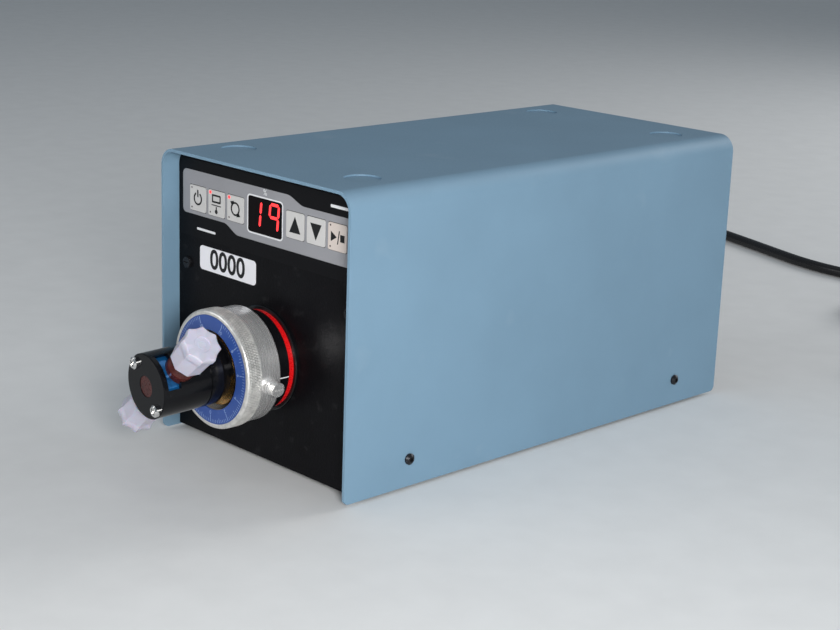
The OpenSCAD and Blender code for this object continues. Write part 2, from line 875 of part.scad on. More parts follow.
// Closed cap along +X with eight lobes, drawn from the head's axis
module port_cap() {
    lobes = 8;
    grip = cap_end - 5.5;
    difference() {
        union() {
            translate([cap_start, 0, 0]) rotate([0, 90, 0])
                cylinder(r1 = cap_r - 0.9, r2 = cap_r - 0.4, h = grip - cap_start);
            translate([grip, 0, 0]) rotate([0, 90, 0]) {
                cylinder(r1 = cap_r - 0.4, r2 = cap_r, h = 2);
                translate([0, 0, 2]) cylinder(r = cap_r, h = cap_end - grip - 2);
            }
        }
        for (i = [0:lobes - 1])
            rotate([(i + 0.5) * 360 / lobes, 0, 0]) translate([0, 0, cap_r + 2.6])
                bar_x(4, cap_start - cut, cap_end + cut);
        bar_x(nipple_r + 0.1, cap_start - cut, cap_start + 6.2);
        bar_x(3.5, cap_end - 0.5, cap_end + cut);
    }
}

module upper_port_cap() {
    color("#c9c3d6") on_head() translate([0, port_y, 0]) port_cap();
}

module lower_port_cap() {
    color("#c9c3d6") on_head() translate([0, port_y, 0]) rotate([0, 180, 0]) port_cap();
}

cover();
base_pan();
front_panel();
rear_panel();
cover_screws();
feet();
foot_screws();
keypad_overlay();
display_window();
display_module();
key_power();
key_mode();
key_direction();
key_up();
key_down();
key_run();
asset_label();
panel_screws();
control_board();
board_parts();
board_standoffs();
transformer_core();
transformer_winding();
fuse_holder();
fuse_cap();
remote_socket();
strain_relief();
power_cord();
cord_coil();
plug();
plug_blades();
motor_front_bell();
motor_can();
motor_rear_bell();
motor_rotor();
motor_shaft();
motor_bearings();
motor_screws();
hub_adapter();
red_ring();
base_collar();
lock_thumbscrew();
adjusting_ring();
scale_ring();
swivel_yoke();
pivot_pins();
head_body();
end_plate();
end_screws();
cylinder_case();
cylinder_liner();
gland_nut();
piston_seals();
piston();
drive_pin();
spherical_bearing();
drive_spindle();
port_nipples();
upper_port_cap();
lower_port_cap();
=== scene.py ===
import json
import math

import bmesh
import bpy
from mathutils import Matrix, Vector

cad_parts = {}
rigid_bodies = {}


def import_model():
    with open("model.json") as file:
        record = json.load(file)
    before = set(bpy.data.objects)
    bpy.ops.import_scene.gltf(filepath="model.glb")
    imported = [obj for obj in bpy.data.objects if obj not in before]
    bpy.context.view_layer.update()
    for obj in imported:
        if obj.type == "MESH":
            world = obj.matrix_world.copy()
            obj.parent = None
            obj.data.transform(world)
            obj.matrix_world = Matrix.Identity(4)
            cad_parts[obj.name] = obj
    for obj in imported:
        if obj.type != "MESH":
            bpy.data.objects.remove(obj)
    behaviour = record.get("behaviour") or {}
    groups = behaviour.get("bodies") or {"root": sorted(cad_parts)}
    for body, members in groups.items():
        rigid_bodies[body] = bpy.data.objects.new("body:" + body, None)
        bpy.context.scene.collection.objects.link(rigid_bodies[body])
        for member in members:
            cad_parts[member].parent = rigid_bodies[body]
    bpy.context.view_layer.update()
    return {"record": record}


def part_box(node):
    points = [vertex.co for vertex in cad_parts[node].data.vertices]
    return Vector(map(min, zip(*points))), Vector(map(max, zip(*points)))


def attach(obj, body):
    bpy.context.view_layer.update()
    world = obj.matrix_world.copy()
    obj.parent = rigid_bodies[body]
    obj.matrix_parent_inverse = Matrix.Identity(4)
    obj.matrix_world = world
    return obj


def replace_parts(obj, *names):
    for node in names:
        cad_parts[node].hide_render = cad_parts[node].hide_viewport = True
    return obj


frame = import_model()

JOINTS = {joint["name"]: joint for joint in frame["record"]["behaviour"]["joints"]}

# Places that the pieces share, in metres; lengths inside the functions are in millimetres
MM = 0.001
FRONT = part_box("cover")[0][1]
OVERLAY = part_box("keypad_overlay")[0][1]
HUB = Vector((0, 0, JOINTS["ring_turn"]["pos_m"][2]))
LEAD_D = 7.6
RESTING_Z = 4.0


# ---------- camera, floor and light ----------

def add_camera():
    """Camera at the photograph's viewing angle."""
    data = bpy.data.cameras.new("camera")
    data.lens = 73.55
    data.sensor_width = 36.0
    data.clip_start = 0.01
    camera = bpy.data.objects.new("camera", data)
    forward = Vector((-0.68877, 0.67422, -0.26650)).normalized()
    right = Vector((0.69228, 0.72081, 0.03441))
    right = (right - forward * right.dot(forward)).normalized()
    up = right.cross(forward)
    turn = Matrix((right, up, -forward)).transposed().to_4x4()
    place = Vector((0.62298, FRONT - 0.49544, 0.29938))
    camera.matrix_world = Matrix.Translation(place) @ turn
    bpy.context.scene.collection.objects.link(camera)
    bpy.context.scene.camera = camera


def area_light(name, place, target, size, power, color=(1, 1, 1)):
    data = bpy.data.lights.new(name, "AREA")
    data.size = size
    data.energy = power
    data.color = color
    lamp = bpy.data.objects.new(name, data)
    aim = Vector(target) - Vector(place)
    lamp.matrix_world = Matrix.Translation(place) @ aim.to_track_quat("-Z", "Y").to_matrix().to_4x4()
    bpy.context.scene.collection.objects.link(lamp)


def add_studio():
    """Pale floor, soft lights and a plain world."""
    mesh = bpy.data.meshes.new("floor")
    s = 6.0
    mesh.from_pydata([(-s, -s, 0), (s, -s, 0), (s, s, 0), (-s, s, 0)], [], [(0, 1, 2, 3)])
    floor = bpy.data.objects.new("floor", mesh)
    bpy.context.scene.collection.objects.link(floor)
    floor.data.materials.append(surface("floor_paper", (0.78, 0.78, 0.77), 0.85, tint=0.02))
    world = bpy.data.worlds.new("studio")
    bpy.context.scene.world = world
    bpy.context.scene.view_settings.view_transform = "Standard"
    world.use_nodes = True
    world.node_tree.nodes["Background"].inputs["Color"].default_value = (0.78, 0.89, 1.0, 1)
    world.node_tree.nodes["Background"].inputs["Strength"].default_value = 0.25
    area_light("key", (0.8, -0.62, 0.33), (0, -0.08, 0.07), 0.25, 8.8)
    area_light("top", (-0.4, 0.3, 1.6), (0, 0, 0.1), 1.2, 1.5)
    area_light("fill", (-0.9, -1.3, 0.7), (0, -0.1, 0.08), 0.8, 4)
    area_light("back", (0.3, 1.6, 0.8), (0, 0.1, 0.08), 0.8, 9)


# ---------- materials ----------

def principled(name):
    mat = bpy.data.materials.new(name)
    mat.use_nodes = True
    return mat, mat.node_tree, mat.node_tree.nodes["Principled BSDF"]


def object_point(tree):
    return tree.nodes.new("ShaderNodeTexCoord").outputs["Object"]


def turned_point(tree):
    """Coordinates that follow a lathe cut about the drive axis: radius and length only."""
    split = tree.nodes.new("ShaderNodeSeparateXYZ")
    tree.links.new(object_point(tree), split.inputs[0])
    drop = tree.nodes.new("ShaderNodeMath")
    drop.operation = "SUBTRACT"
    tree.links.new(split.outputs["Z"], drop.inputs[0])
    drop.inputs[1].default_value = HUB.z
    flat = tree.nodes.new("ShaderNodeCombineXYZ")
    tree.links.new(split.outputs["X"], flat.inputs[0])
    tree.links.new(drop.outputs[0], flat.inputs[1])
    radius = tree.nodes.new("ShaderNodeVectorMath")
    radius.operation = "LENGTH"
    tree.links.new(flat.outputs[0], radius.inputs[0])
    join = tree.nodes.new("ShaderNodeCombineXYZ")
    tree.links.new(radius.outputs["Value"], join.inputs[0])
    tree.links.new(split.outputs["Y"], join.inputs[1])
    return join.outputs[0]


def noise(tree, point, scale, detail=3.0):
    node = tree.nodes.new("ShaderNodeTexNoise")
    node.inputs["Scale"].default_value = scale
    node.inputs["Detail"].default_value = detail
    tree.links.new(point, node.inputs["Vector"])
    return node.outputs["Fac"]


def spread(tree, value, low, high):
    node = tree.nodes.new("ShaderNodeMapRange")
    node.inputs["From Min"].default_value = 0.3
    node.inputs["From Max"].default_value = 0.7
    node.inputs["To Min"].default_value = low
    node.inputs["To Max"].default_value = high
    tree.links.new(value, node.inputs["Value"])
    return node.outputs["Result"]


def surface(name, color, roughness, metallic=0.0, tint=0.06, tint_scale=45.0, rough_var=0.06,
            bump=0.0, bump_scale=900.0, bump_mm=0.05, turned=False, scuff=0.0, scuff_scale=60.0,
            **sockets):
    """A plain finish: colour and gloss that wander a little, a fine relief, and paler scuffs."""
    mat, tree, shader = principled(name)
    point = turned_point(tree) if turned else object_point(tree)
    mix = tree.nodes.new("ShaderNodeMix")
    mix.data_type = "RGBA"
    mix.inputs["A"].default_value = (*[c * (1 - tint) for c in color], 1)
    mix.inputs["B"].default_value = (*[min(1.0, c * (1 + tint)) for c in color], 1)
    tree.links.new(spread(tree, noise(tree, point, tint_scale), 0, 1), mix.inputs["Factor"])
    shade = mix.outputs["Result"]
    if scuff:
        marks = tree.nodes.new("ShaderNodeMapRange")
        marks.inputs["From Min"].default_value = 0.62
        marks.inputs["From Max"].default_value = 0.8
        marks.inputs["To Max"].default_value = scuff
        tree.links.new(noise(tree, point, scuff_scale, 9.0), marks.inputs["Value"])
        worn = tree.nodes.new("ShaderNodeMix")
        worn.data_type = "RGBA"
        worn.inputs["B"].default_value = (*[c * 0.6 + 0.3 for c in color], 1)
        tree.links.new(marks.outputs["Result"], worn.inputs["Factor"])
        tree.links.new(shade, worn.inputs["A"])
        shade = worn.outputs["Result"]
    tree.links.new(shade, shader.inputs["Base Color"])
    fine = noise(tree, point, bump_scale, 2.0)
    low = max(0.02, roughness - rough_var)
    tree.links.new(spread(tree, fine, low, roughness + rough_var), shader.inputs["Roughness"])
    shader.inputs["Metallic"].default_value = metallic
    for socket, value in sockets.items():
        shader.inputs[socket.replace("_", " ")].default_value = value
    if bump:
        relief = tree.nodes.new("ShaderNodeBump")
        relief.inputs["Strength"].default_value = bump
        relief.inputs["Distance"].default_value = bump_mm * MM
        tree.links.new(fine, relief.inputs["Height"])
        tree.links.new(relief.outputs["Normal"], shader.inputs["Normal"])
    return mat


def make_materials():
    """One finish for each material slot, and one for each print and lamp."""
    m = {}
    m["cover_paint"] = surface("cover_paint", (0.18, 0.295, 0.395), 0.5, tint=0.035, tint_scale=22,
                               bump=0.3, bump_scale=1500, bump_mm=0.05, scuff=0.15, scuff_scale=38,
                               Specular_IOR_Level=0.3)
    m["black_steel"] = surface("black_steel", (0.004, 0.004, 0.005), 0.38, tint=0.2, bump=0.6,
                               bump_scale=800, bump_mm=0.12, scuff=0.04, scuff_scale=140,
                               Specular_IOR_Level=0.08)
    m["black_screw"] = surface("black_screw", (0.03, 0.03, 0.033), 0.3, 0.7, bump=0.2)
    m["foot_rubber"] = surface("foot_rubber", (0.012, 0.012, 0.012), 0.8, bump=0.4)
    m["zinc_steel"] = surface("zinc_steel", (0.5, 0.505, 0.52), 0.3, 1.0, tint=0.1, bump=0.2)
    m["keypad_film"] = surface("keypad_film", (0.004, 0.004, 0.005), 0.4, tint=0.1, bump=0.15,
                               Specular_IOR_Level=0.1)
    m["grey_print"] = surface("grey_print", (0.29, 0.29, 0.305), 0.45, tint=0.03, bump=0.1,
                              Specular_IOR_Level=0.2)
    m["key_film"] = surface("key_film", (0.58, 0.565, 0.55), 0.45, tint=0.03, bump=0.15,
                            Specular_IOR_Level=0.3)
    m["run_key_film"] = surface("run_key_film", (0.63, 0.55, 0.50), 0.45, tint=0.03, bump=0.15,
                                Specular_IOR_Level=0.3)
    m["white_print"] = surface("white_print", (0.75, 0.75, 0.76), 0.45, tint=0.03)
    m["black_print"] = surface("black_print", (0.01, 0.01, 0.011), 0.5, tint=0.1, Specular_IOR_Level=0.2)
    m["display_filter"] = surface("display_filter", (0.003, 0.0015, 0.002), 0.16, tint=0.1,
                                  Specular_IOR_Level=0.08)
    m["display_case"] = surface("display_case", (0.05, 0.05, 0.055), 0.5)
    m["lit_segment"] = surface("lit_segment", (0.8, 0.02, 0.02), 0.4, Emission_Strength=1.5,
                               Emission_Color=(1.0, 0.035, 0.04, 1))
    m["unlit_lens"] = surface("unlit_lens", (0.03, 0.012, 0.012), 0.3)
    m["label_film"] = surface("label_film", (0.84, 0.83, 0.86), 0.4, tint=0.02, bump=0.1)
    m["circuit_board"] = surface("circuit_board", (0.02, 0.12, 0.05), 0.4, tint=0.2)
    m["board_part_plastic"] = surface("board_part_plastic", (0.03, 0.03, 0.035), 0.5)
    m["core_steel"] = surface("core_steel", (0.2, 0.19, 0.18), 0.5, 0.8, bump=0.3)
    m["winding_copper"] = surface("winding_copper", (0.55, 0.32, 0.06), 0.45, tint=0.12)
    m["black_moulding"] = surface("black_moulding", (0.014, 0.014, 0.015), 0.42, bump=0.25)
    m["cord_jacket"] = surface("cord_jacket", (0.006, 0.006, 0.007), 0.3, tint=0.1, bump=0.12,
                               bump_scale=600, Specular_IOR_Level=0.4)
    m["plug_brass"] = surface("plug_brass", (0.72, 0.42, 0.14), 0.26, 1.0, tint=0.1, bump=0.2)
    m["motor_paint"] = surface("motor_paint", (0.04, 0.04, 0.045), 0.45, bump=0.2)
    m["hub_black"] = surface("hub_black", (0.005, 0.005, 0.006), 0.22, tint=0.1, bump=0.2,
                             bump_scale=2500, turned=True, Specular_IOR_Level=0.3)
    m["red_band"] = surface("red_band", (0.72, 0.008, 0.01), 0.28, tint=0.05, bump=0.1)
    m["turned_aluminium"] = surface("turned_aluminium", (0.84, 0.83, 0.82), 0.28, 0.74, tint=0.07,
                                    tint_scale=1600, rough_var=0.08, bump=0.18, bump_scale=2600,
                                    bump_mm=0.01, turned=True)
    m["knurled_aluminium"] = surface("knurled_aluminium", (0.82, 0.80, 0.76), 0.34, 0.72, tint=0.18,
                                     tint_scale=300, bump=0.2, scuff=0.1, scuff_scale=500)
    m["blue_scale"] = surface("blue_scale", (0.035, 0.09, 0.34), 0.36, 0.1, tint=0.08, bump=0.15,
                              scuff=0.1, scuff_scale=400)
    m["scale_print"] = surface("scale_print", (0.35, 0.48, 0.75), 0.4, 0.2)
    m["head_black"] = surface("head_black", (0.004, 0.004, 0.005), 0.15, tint=0.2, bump=0.25,
                              bump_scale=450, scuff=0.03, scuff_scale=260, Specular_IOR_Level=0.18)
    m["bright_screw"] = surface("bright_screw", (0.75, 0.74, 0.72), 0.14, 1.0, bump=0.1)
    # blue_case: the deep blue and its strong mottling are a painted reflection of blue cloth in the pump
    # head's slot, not the case's own colour
    m["blue_case"] = surface("blue_case", (0.008, 0.10, 0.28), 0.14, 0.5, tint=0.6, tint_scale=160,
                             bump=0.3, bump_scale=220, Coat_Weight=0.5)
    m["brown_resin"] = surface("brown_resin", (0.06, 0.012, 0.01), 0.3, tint=0.3, tint_scale=320,
                               bump=0.15, Specular_IOR_Level=0.3)
    m["white_seal"] = surface("white_seal", (0.8, 0.8, 0.78), 0.5)
    m["ceramic"] = surface("ceramic", (0.82, 0.8, 0.74), 0.12)
    m["milky_plastic"] = surface("milky_plastic", (0.57, 0.55, 0.65), 0.34, tint=0.04, bump=0.2,
                                 bump_scale=350, Transmission_Weight=0.05, IOR=1.45,
                                 Subsurface_Weight=0.3, Subsurface_Scale=0.002)
    return m


# ---------- shared makers ----------

def link(name, mesh, mat, body, smooth=True):
    piece = bpy.data.objects.new(name, mesh)
    bpy.context.scene.collection.objects.link(piece)
    piece.data.materials.clear()
    piece.data.materials.append(MATERIALS[mat])
    for face in piece.data.polygons:
        face.use_smooth = smooth
    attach(piece, body)
    return piece


def sharpen(piece, degrees=35):
    """Marks the edges that bend more than this, so that smooth shading stops there."""
    bm = bmesh.new()
    bm.from_mesh(piece.data)
    bmesh.ops.remove_doubles(bm, verts=bm.verts, dist=1e-7)
    bmesh.ops.recalc_face_normals(bm, faces=bm.faces)
    for edge in bm.edges:
        if len(edge.link_faces) == 2 and edge.calc_face_angle(0) > math.radians(degrees):
            edge.smooth = False
    bm.to_mesh(piece.data)
    bm.free()
    return piece


def loft_mesh(name, rings, closed_ends=True):
    """A skin through rings of equally many points, each ring a closed loop."""
    n = len(rings[0])
    points = [p for ring in rings for p in ring]
    faces = []
    for i in range(len(rings) - 1):
        for k in range(n):
            j = (k + 1) % n
            faces.append((i * n + k, i * n + j, (i + 1) * n + j, (i + 1) * n + k))
    if closed_ends:
        faces.append(tuple(reversed(range(n))))
        faces.append(tuple((len(rings) - 1) * n + k for k in range(n)))
    mesh = bpy.data.meshes.new(name)
    mesh.from_pydata([tuple(p) for p in points], [], faces)
    return mesh


def turned_mesh(name, profile, frame_matrix, steps=96, radius=None):
    """Turns [radius, length] stations, in millimetres, about the matrix's own Z axis."""
    rings = []
    for r, z in profile:
        ring = []
        for k in range(steps):
            a = 2 * math.pi * k / steps
            rr = radius(r, z, a) if radius else r
            ring.append(frame_matrix @ Vector((rr * math.cos(a), rr * math.sin(a), z)))
        rings.append(ring)
    return loft_mesh(name, rings)


def drop_end_faces(mesh):
    """Takes the two end faces off a turned ring whose last station lies on its first."""
    bm = bmesh.new()
    bm.from_mesh(mesh)
    bmesh.ops.delete(bm, geom=[f for f in bm.faces if len(f.verts) > 4], context="FACES_ONLY")
    bm.to_mesh(mesh)
    bm.free()


def axis_frame(place, axis):
    """Matrix in metres whose Z runs along the axis, taking millimetres."""
    turn = Vector(axis).to_track_quat("Z", "Y").to_matrix().to_4x4()
    return Matrix.Translation(place) @ turn @ Matrix.Scale(MM, 4)


def flat_shape(name, outlines, y, thickness, mat, body, place=(0, 0), spin=0.0):
    """A thin plate facing -Y, from closed outlines in x and z; inner outlines are holes."""
    curve = bpy.data.curves.new(name, "CURVE")
    curve.dimensions = "2D"
    curve.fill_mode = "BOTH"
    curve.extrude = thickness * MM / 2
    for outline in outlines:
        spline = curve.splines.new("POLY")
        spline.points.add(len(outline) - 1)
        for point, (x, z) in zip(spline.points, outline):
            point.co = (x * MM, z * MM, 0, 1)
        spline.use_cyclic_u = True
    return stamp(name, curve, y, thickness, mat, body, place, spin)


def stamp(name, curve, y, thickness, mat, body, place, spin):
    """Turns a flat curve or text into a mesh that stands on the plane y, facing -Y."""
    holder = bpy.data.objects.new(name, curve)
    mesh = bpy.data.meshes.new_from_object(holder)
    bpy.data.objects.remove(holder)
    stand = Matrix.Translation((place[0] * MM, y - thickness * MM / 2, place[1] * MM))
    mesh.transform(stand @ Matrix.Rotation(spin, 4, "Y") @ Matrix.Rotation(math.pi / 2, 4, "X"))
    return link(name, mesh, mat, body, smooth=False)


def numeral(name, text, size, y, mat, body, place, spin=0.0, weight=0.0):
    curve = bpy.data.curves.new(name, "FONT")
    curve.body = text
    curve.size = size * MM
    curve.offset = weight * MM
    curve.align_x = "CENTER"
    curve.align_y = "CENTER"
    curve.extrude = 0.02 * MM
    curve.resolution_u = 4
    return stamp(name, curve, y, 0.04, mat, body, place, spin)


def arc(cx, cz, r, a0, a1, steps=10):
    """Points along an arc, angles in degrees."""
    return [(cx + r * math.cos(math.radians(a0 + (a1 - a0) * i / steps)),
             cz + r * math.sin(math.radians(a0 + (a1 - a0) * i / steps)))
            for i in range(steps + 1)]


def round_box(w, h, r, cx=0.0, cz=0.0):
    points = []
    for sx, sz, a in ((1, 1, 0), (-1, 1, 90), (-1, -1, 180), (1, -1, 270)):
        points += arc(cx + sx * (w / 2 - r), cz + sz * (h / 2 - r), r, a, a + 90, 6)
    return points


def slope(x0, z0, x1, z1, steps=12):
    """An S-shaped step from one level to another."""
    points = []
    for i in range(steps + 1):
        t = i / steps
        points.append((x0 + (x1 - x0) * t, z0 + (z1 - z0) * (3 - 2 * t) * t * t))
    return points


# ---------- mains lead ----------

LEAD_ROUTE = [
    (-20, 305, 26), (-20, 317, 25.5), (-20, 329, 22.5), (-21, 341, 17.5), (-23, 353, 11.5),
    (-26, 366, 6.5), (-31, 381, 4.2), (-38, 398, 4), (-48, 417, 4), (-62, 437, 4),
    (-79, 455, 4), (-98, 471, 4), (-118, 486, 4), (-139, 501, 4), (-160, 516, 4),
    (-181, 532, 4), (-201, 549, 4), (-218, 566, 4), (-227, 580, 4), (-228, 597, 4),
    (-220.5, 612, 4), (-206, 621.5, 4), (-187, 621.5, 4), (-163, 614.5, 4),
    (-142, 608, 4), (-120, 601, 4), (-97, 593.5, 4), (-76, 587.5, 4), (-56, 584, 4),
    (-36, 583.2, 4), (-14, 583.2, 4), (10, 583.2, 4), (35, 583.2, 4),
]
COIL_AT = (66, 534.6)
COIL_MID_R = 44.8
LEAD_TAIL = [
    (114.6, 515, 11.6), (114.6, 500, 11.6), (114.6, 485, 11), (114.6, 470, 10.5),
    (114.6, 455, 10.5),
]
PLUG_Z = 10.5


def coil_points():
    """Two turns below and two above, wound clockwise from the back to the right side."""
    outer = COIL_MID_R + LEAD_D / 2
    inner = COIL_MID_R - LEAD_D / 2
    stations = [(0.0, outer, 0), (0.85, outer, 0), (1.0, inner, 0), (1.85, inner, 0),
                (2.0, inner, 1), (2.85, inner, 1), (3.05, outer, 1), (4.25, outer, 1)]
    points = []
    steps = 14
    for k in range(1, int(4.25 * steps)):
        turn = k / steps
        for (t0, r0, l0), (t1, r1, l1) in zip(stations, stations[1:]):
            if t0 <= turn <= t1:
                u = (turn - t0) / (t1 - t0)
                u = u * u * (3 - 2 * u)
                r = r0 + (r1 - r0) * u
                z = RESTING_Z + LEAD_D * (l0 + (l1 - l0) * u)
        a = math.radians(90 - 360 * turn)
        points.append((COIL_AT[0] + r * math.cos(a), COIL_AT[1] + r * math.sin(a), z))
    return points


def to_row(point):
    x, y, z = point
    return Vector((x * MM, FRONT + y * MM, z * MM))


def add_lead():
    """The whole lead as one cord, from the boot's tip to the plug."""
    route = [to_row(p) for p in LEAD_ROUTE + coil_points() + LEAD_TAIL]
    curve = bpy.data.curves.new("mains_lead", "CURVE")
    curve.dimensions = "3D"
    curve.bevel_depth = LEAD_D / 2 * MM
    curve.bevel_resolution = 5
    curve.resolution_u = 6
    spline = curve.splines.new("BEZIER")
    spline.bezier_points.add(len(route) - 1)
    for knot, place in zip(spline.bezier_points, route):
        knot.co = place
        knot.handle_left_type = "AUTO"
        knot.handle_right_type = "AUTO"
    lead = bpy.data.objects.new("mains_lead", curve)
    bpy.context.scene.collection.objects.link(lead)
    curve.materials.append(MATERIALS["cord_jacket"])
    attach(lead, "housing")
    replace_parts(lead, "power_cord", "cord_coil")
    pieces = [add_strain_relief(), add_plug(), "plug_blades"]


def add_strain_relief():
    """Collar against the panel, then a tapered boot with flexing grooves, measured from its tip."""
    low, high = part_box("strain_relief")
    place = Vector(((low.x + high.x) / 2, high.y, (low.z + high.z) / 2))
    panel = -32.5
    boot = -27.5
    boot_r = 7.0
    tip_r = LEAD_D / 2 + 0.8
    profile = [(0.0, panel - 5.5), (6.2, panel - 5.5), (6.2, panel), (8.6, panel),
               (9.0, panel + 0.4), (9.0, panel + 3.5), (8.4, panel + 4.2), (7.2, panel + 4.5)]
    grooves = 7
    for i in range(grooves):
        for step, depth in ((0.0, 0.0), (1.9, 0.0), (2.2, 0.9), (3.0, 0.9), (3.3, 0.0)):
            along = i * 3.4 + step
            outer = boot_r + (tip_r - boot_r) * along / -boot
            profile.append((outer - depth * (1 - 0.5 * i / grooves), boot + along))
    profile += [(tip_r, -2.6), (tip_r - 0.05, -0.4), (tip_r - 0.5, 0.0), (0.0, 0.0)]
    mesh = turned_mesh("strain_relief_boot", profile, axis_frame(place, (0, 1, 0)), 48)
    relief = sharpen(link("strain_relief_boot", mesh, "cord_jacket", "housing"), 50)
    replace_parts(relief, "strain_relief")
    return relief


def add_plug():
    """Moulded plug: rounded block with finger grooves, running down to the lead."""
    low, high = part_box("plug")
    cx = (low.x + high.x) / 2 / MM
    face = low.y / MM
    tail = high.y / MM
    stations = [(face, 11.6, 9.6, 6), (face + 0.7, 12.3, 10.3, 6), (face + 6, 12.4, 10.4, 5)]
    for i in range(4):
        start = face + 8 + i * 4
        stations += [(start, 12.4, 10.4, 5), (start + 0.8, 11.5, 9.6, 5), (start + 1.8, 11.5, 9.6, 5),
                     (start + 2.6, 12.3, 10.3, 5)]
    stations += [(face + 27, 12, 10, 4), (face + 30, 10, 8.6, 3), (face + 33, 7.6, 7.2, 2.4),
                 (tail - 5, 5.6, 5.6, 2), (tail - 0.5, 4.7, 4.7, 2), (tail, 4.2, 4.2, 2)]
    rings = []
    for y, w, h, power in stations:
        ring = []
        for k in range(56):
            a = 2 * math.pi * k / 56
            c, s = math.cos(a), math.sin(a)
            x = math.copysign(abs(c) ** (2 / power), c) * w
            z = math.copysign(abs(s) ** (2 / power), s) * h
            ring.append(Vector((cx + x, y, PLUG_Z + z)) * MM)
        rings.append(ring)
    plug = link("mains_plug", loft_mesh("mains_plug", rings), "black_moulding", "housing")
    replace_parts(sharpen(plug, 40), "plug")
    return plug


# ---------- keypad ----------

KEYS = ["key_power", "key_mode", "key_direction", "key_up", "key_down", "key_run"]
LIT = {"key_mode", "key_direction"}


def add_keypad_print():
    """Grey field with stepped edges, printed on the black film, with a pale window frame."""
    outline = arc(-62.5, 118.3, 2.5, 180, 270, 6)
    outline += slope(-32, 115.8, -20, 111.3) + [(65.8, 111.3), (65.8, 134.2)]
    outline += list(reversed(slope(16, 138.0, 29, 134.2))) + arc(-62, 135, 3, 90, 180, 6)
    holes = []
    for key in KEYS:
        low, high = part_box(key)
        cx, cz = (low.x + high.x) / 2 / MM, (low.z + high.z) / 2 / MM
        holes.append(list(reversed(round_box(high.x / MM - low.x / MM + 0.5, 13.3, 1.0, cx, cz))))
    low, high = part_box("display_window")
    w, h = (high.x - low.x) / MM, (high.z - low.z) / MM
    cz = (low.z + high.z) / 2 / MM
    frame_outer = round_box(w + 1.5, h + 1.5, 2.2, 0, cz)
    holes.append(list(reversed(frame_outer)))
    flat_shape("keypad_field", [outline] + holes, OVERLAY, 0.06, "grey_print", "housing")
    flat_shape("window_frame", [frame_outer, list(reversed(round_box(w, h, 1.5, 0, cz)))],
               OVERLAY, 0.1, "white_print", "housing")
    numeral("percent_mark", "%", 4.2, OVERLAY - 0.06 * MM, "white_print", "housing",
            (0, 136.0))
    for name, w, h, place in (("header_rule", 12.5, 1.4, (53.5, 138.2)),
                              ("lower_rule", 15.0, 1.2, (-46.0, 109.0))):
        flat_shape(name, [round_box(w, h, 0.5)], OVERLAY, 0.06, "white_print", "housing",
                   place)


def thick_line(x0, z0, x1, z1, w):
    length = math.hypot(x1 - x0, z1 - z0)
    nx, nz = (z0 - z1) / length * w / 2, (x1 - x0) / length * w / 2
    return [(x0 + nx, z0 + nz), (x0 - nx, z0 - nz), (x1 - nx, z1 - nz), (x1 + nx, z1 + nz)]


def ring_part(r, w, a0, a1):
    return arc(0, 0, r + w / 2, a0, a1, 24) + list(reversed(arc(0, 0, r - w / 2, a0, a1, 24)))


def key_symbols():
    """Outlines for each key, in millimetres about its middle; the first may have a hole."""
    screen = [round_box(7, 4.2, 0.6, 0, 2.3), list(reversed(round_box(5.2, 2.4, 0.3, 0, 2.3)))]
    return {
        "key_power": [ring_part(2.9, 0.95, 120, 420), thick_line(0, 0.8, 0, 4.4, 0.95)],
        "key_mode": screen + [thick_line(-3.8, -1.0, 3.8, -1.0, 0.5),
                              thick_line(0, -1.6, 0, -3.2, 0.9), arc(0, -4.1, 1.1, 0, 360, 14)],
        "key_direction": [ring_part(3.0, 0.9, -50, 130), [(-3.9, 3.3), (-0.9, 3.9), (-2.2, 0.9)],
                          ring_part(3.0, 0.9, 140, 310), [(3.9, -3.3), (0.9, -3.9), (2.2, -0.9)]],
        "key_up": [[(-4.0, -3.6), (4.0, -3.6), (0, 4.3)]],
        "key_down": [[(-4.0, 3.6), (0, -4.3), (4.0, 3.6)]],
        "key_run": [[(-4.4, -2.4), (-0.4, 0), (-4.4, 2.4)], thick_line(0.2, -3.2, 1.4, 3.2, 0.6),
                    [(2.0, -1.8), (5.0, -1.8), (5.0, 1.6), (2.0, 1.6)]],
    }


def add_key_prints():
    """A symbol on each key, and two small lamps on the keys that show a state."""
    for key, outlines in key_symbols().items():
        low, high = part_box(key)
        middle = ((low.x + high.x) / 2 / MM, (low.z + high.z) / 2 / MM)
        for i, outline in enumerate(outlines):
            if key == "key_mode" and i == 1:
                continue
            shapes = outlines[0:2] if key == "key_mode" and i == 0 else [outline]
            flat_shape(f"{key}_symbol_{i}", shapes, low.y, 0.05, "black_print", key + "_body",
                       middle)
        if key in ("key_up", "key_down"):
            continue
        lens = "lit_segment" if key in LIT else "unlit_lens"
        for j, corner in enumerate((5.1, -4.8)):
            mat = lens if corner > 0 else "unlit_lens"
            size = 0.8 if mat == "lit_segment" else 0.45
            flat_shape(f"{key}_lamp_{j}", [arc(0, 0, size, 0, 360, 20)], low.y, 0.06, mat,
                       key + "_body", (middle[0] - 4.8, middle[1] + corner))


SEGMENTS = {
    "a": ((-1, 2), (1, 2)), "b": ((1, 2), (1, 0)), "c": ((1, 0), (1, -2)), "d": ((-1, -2), (1, -2)),
    "e": ((-1, 0), (-1, -2)), "f": ((-1, 2), (-1, 0)), "g": ((-1, 0), (1, 0)),
}
DIGITS = {"1": "bc", "9": "abcfg"}


